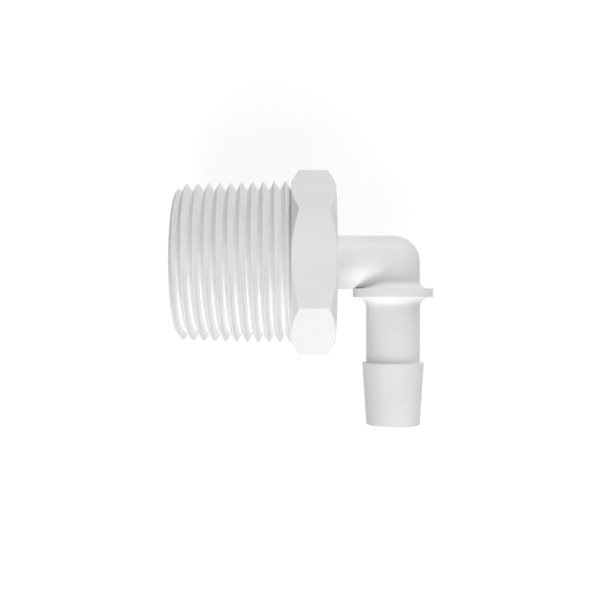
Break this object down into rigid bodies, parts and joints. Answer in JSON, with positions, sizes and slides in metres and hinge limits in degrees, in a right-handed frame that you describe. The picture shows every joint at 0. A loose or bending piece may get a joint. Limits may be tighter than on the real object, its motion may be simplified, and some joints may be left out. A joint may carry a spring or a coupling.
{
  "type": "barbed elbow fitting",
  "caption": "Moulded plastic elbow with a male taper pipe thread, a chamfered hexagon, a ball corner, a round collar and a long-taper hose barb.",
  "frame": {"origin": "centre of the thread's open end, on the thread's axis", "axes": "+X along the thread's axis from the open end to the elbow, -Y along the barb's axis to its tip, +Z square to both and up, with a flat of the hexagon facing down"},
  "size_m": [0.0427, 0.0428, 0.0271],
  "materials": {
    "body": "satin, as moulded"
  },
  "bodies": {
    "root": {"elbow_fitting": "body"}
  },
  "joints": []
}
